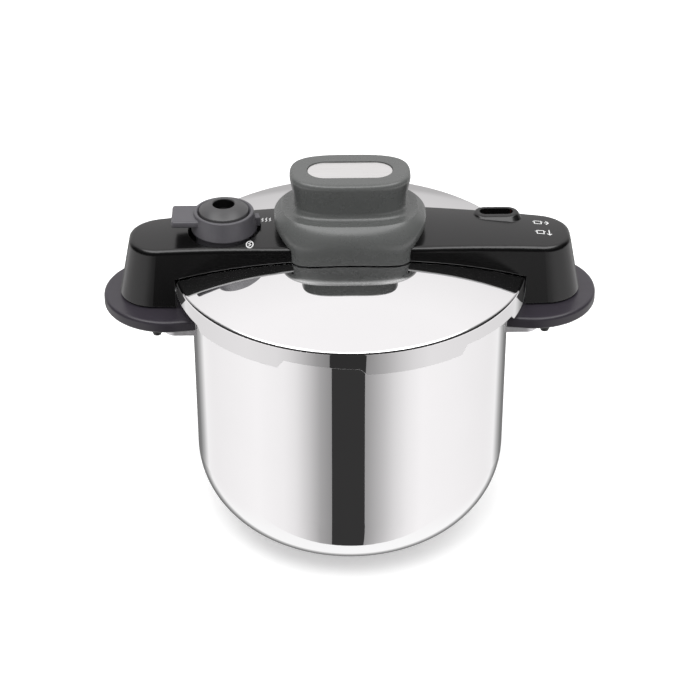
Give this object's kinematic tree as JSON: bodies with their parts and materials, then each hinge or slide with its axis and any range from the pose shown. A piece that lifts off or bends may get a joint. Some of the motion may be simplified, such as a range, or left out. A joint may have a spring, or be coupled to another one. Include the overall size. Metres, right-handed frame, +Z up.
{
  "type": "bayonet pressure cooker",
  "caption": "Round steel pressure cooker with a bayonet lid, bridge bar, central knob, turning steam valve, pressure indicator and side handles.",
  "frame": {"origin": "centre of the resting face of the base, on the pot's axis", "axes": "+Z up along the pot's axis, +X along the bridge bar towards the pressure indicator, -Y is the front"},
  "size_m": [0.346, 0.2468, 0.2753],
  "materials": {
    "polished_steel": "mirror polished",
    "base_steel": "satin",
    "spreader_aluminium": "cast",
    "bridge_plastic": "satin to semi-gloss",
    "tray_plastic": "moulded",
    "handle_plastic": "fine satin",
    "knob_plastic": "fine satin",
    "valve_plastic": "fine satin",
    "valve_cap_plastic": "fine satin",
    "inlay_steel": "fine brushed",
    "bracket_steel": "pressed",
    "fastener_steel": "zinc plated",
    "peg_rubber": "matte",
    "seal_silicone": "translucent grey",
    "gasket_silicone": "matte",
    "valve_steel": "turned",
    "valve_brass": "turned",
    "spring_steel": "drawn wire",
    "indicator_red": "satin"
  },
  "bodies": {
    "pot": {"pot_vessel": "polished_steel", "base_core": "spreader_aluminium", "base_plate": "base_steel", "handle_bracket_left": "bracket_steel", "handle_bracket_right": "bracket_steel", "pot_handle_left": "handle_plastic", "pot_handle_right": "handle_plastic", "handle_screws": "fastener_steel", "handle_pegs": "peg_rubber"},
    "seal": {"lid_seal": "seal_silicone"},
    "lid": {"lid_shell": "polished_steel", "bridge_cover": "bridge_plastic", "bridge_tray": "tray_plastic", "lid_studs": "fastener_steel", "bridge_nuts": "fastener_steel", "knob_body": "knob_plastic", "knob_inlay": "inlay_steel", "knob_stud": "fastener_steel", "knob_insert": "valve_brass", "steam_duct": "valve_steel", "steam_duct_gasket": "gasket_silicone", "steam_duct_nut": "valve_steel", "indicator_guide": "valve_steel", "indicator_gasket": "gasket_silicone", "safety_valve_body": "valve_brass", "safety_valve_gasket": "gasket_silicone", "safety_valve_nut": "valve_steel", "safety_spring": "spring_steel"},
    "operating_valve": {"valve_ring": "valve_plastic", "valve_cap": "valve_cap_plastic", "valve_spring": "spring_steel"},
    "valve_weight": {"valve_needle": "valve_steel"},
    "pressure_indicator": {"indicator_pin": "indicator_red", "indicator_seal": "gasket_silicone"},
    "safety_valve": {"safety_plunger": "valve_steel"}
  },
  "joints": [
    {"name": "lid_lift", "type": "slide", "parent": "pot", "child": "seal", "axis": [0, 0, 1], "range_m": [0, 0.18]},
    {"name": "lid_turn", "type": "hinge", "parent": "seal", "child": "lid", "pos_m": [0, 0, 0.2], "axis": [0, 0, 1], "range_deg": [0, 30]},
    {"name": "valve_turn", "type": "hinge", "parent": "lid", "child": "operating_valve", "pos_m": [-0.087, 0, 0.232], "axis": [0, 0, 1], "range_deg": [-74, 0]},
    {"name": "valve_rise", "type": "slide", "parent": "operating_valve", "child": "valve_weight", "axis": [0, 0, 1], "range_m": [0, 0.002], "stiffness_N_per_m": 400, "springref_m": -0.002, "deforming": ["valve_spring"]},
    {"name": "indicator_rise", "type": "slide", "parent": "lid", "child": "pressure_indicator", "axis": [0, 0, 1], "range_m": [0, 0.005]},
    {"name": "safety_rise", "type": "slide", "parent": "lid", "child": "safety_valve", "axis": [0, 0, 1], "range_m": [0, 0.002], "stiffness_N_per_m": 2000, "springref_m": -0.002, "deforming": ["safety_spring"]}
  ]
}
